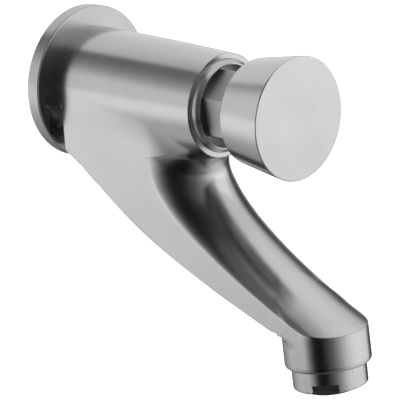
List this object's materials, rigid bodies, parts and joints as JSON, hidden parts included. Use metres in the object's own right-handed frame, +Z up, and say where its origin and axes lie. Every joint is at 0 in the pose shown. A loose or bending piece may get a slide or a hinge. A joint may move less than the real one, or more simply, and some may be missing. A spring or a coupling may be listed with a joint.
{
  "type": "push timed tap",
  "caption": "Wall-mounted self-closing tap: round flange and body, sloping spout with an aerator, and a frustum push button that works a timed piston valve.",
  "frame": {"origin": "where the button's axis meets the wall, in the plane of the flange's back", "axes": "+Y into the wall along the button's axis, -Y out of the wall to the user, +Z up, +X to the right of a user who faces the tap"},
  "size_m": [0.056, 0.1452, 0.126],
  "materials": {
    "satin_chrome": "satin",
    "brass": "machined",
    "steel": "drawn",
    "acetal": "moulded",
    "dark_plastic": "moulded",
    "rubber": "matte",
    "fibre": "pressed fibre"
  },
  "bodies": {
    "tap": {"tap_body": "satin_chrome", "wall_flange": "satin_chrome", "bezel_ring": "satin_chrome", "bonnet": "satin_chrome", "aerator_shell": "satin_chrome", "inlet_nipple": "brass", "valve_seat": "brass", "return_spring": "steel", "bush_clip": "steel", "aerator_screen": "steel", "inlet_strainer": "steel", "timing_cylinder": "acetal", "cartridge_cage": "acetal", "guide_bush": "acetal", "aerator_insert": "dark_plastic", "flange_gasket": "rubber", "seat_ring": "rubber", "bonnet_ring": "rubber", "rod_seal": "rubber", "aerator_gasket": "rubber", "nipple_washer": "fibre"},
    "button": {"button_cap": "satin_chrome", "button_nut": "steel", "push_rod": "steel", "piston": "acetal", "lip_seal": "rubber", "valve_washer": "rubber"}
  },
  "joints": [
    {"name": "button_push", "type": "slide", "parent": "tap", "child": "button", "axis": [0, 1, 0], "range_m": [0, 0.008], "stiffness_N_per_m": 1200, "springref_m": -0.008, "deforming": ["return_spring"]}
  ]
}
